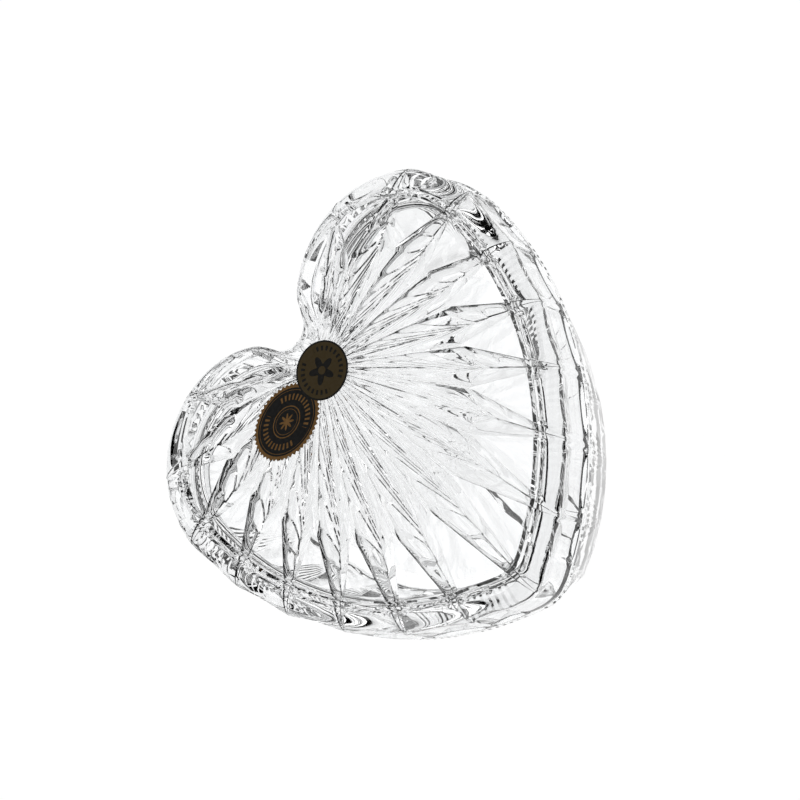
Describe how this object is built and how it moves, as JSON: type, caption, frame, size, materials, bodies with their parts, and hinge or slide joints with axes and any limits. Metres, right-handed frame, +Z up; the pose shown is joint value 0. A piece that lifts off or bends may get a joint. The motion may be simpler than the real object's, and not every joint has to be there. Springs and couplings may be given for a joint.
{
  "type": "trinket box",
  "caption": "Heart-shaped trinket box in clear cut crystal: a bowl with fan-cut walls and a lift-off lid with a sunburst of cut rays.",
  "frame": {"origin": "middle of the footprint's bounding box, on the plane the foot stands on", "axes": "+Z up through the lid, +Y towards the heart's cleft, -Y towards its tip, +X across the lobes"},
  "size_m": [0.1102, 0.1065, 0.0453],
  "materials": {
    "bowl_crystal": "polished",
    "lid_crystal": "polished",
    "oval_label_foil": "printed foil",
    "round_label_foil": "printed foil"
  },
  "bodies": {
    "base": {"bowl": "bowl_crystal"},
    "lid": {"lid": "lid_crystal", "oval_label": "oval_label_foil", "round_label": "round_label_foil"}
  },
  "joints": [
    {"name": "lid_lift", "type": "slide", "parent": "base", "child": "lid", "axis": [0, 0, 1], "range_m": [0, 0.06]}
  ]
}
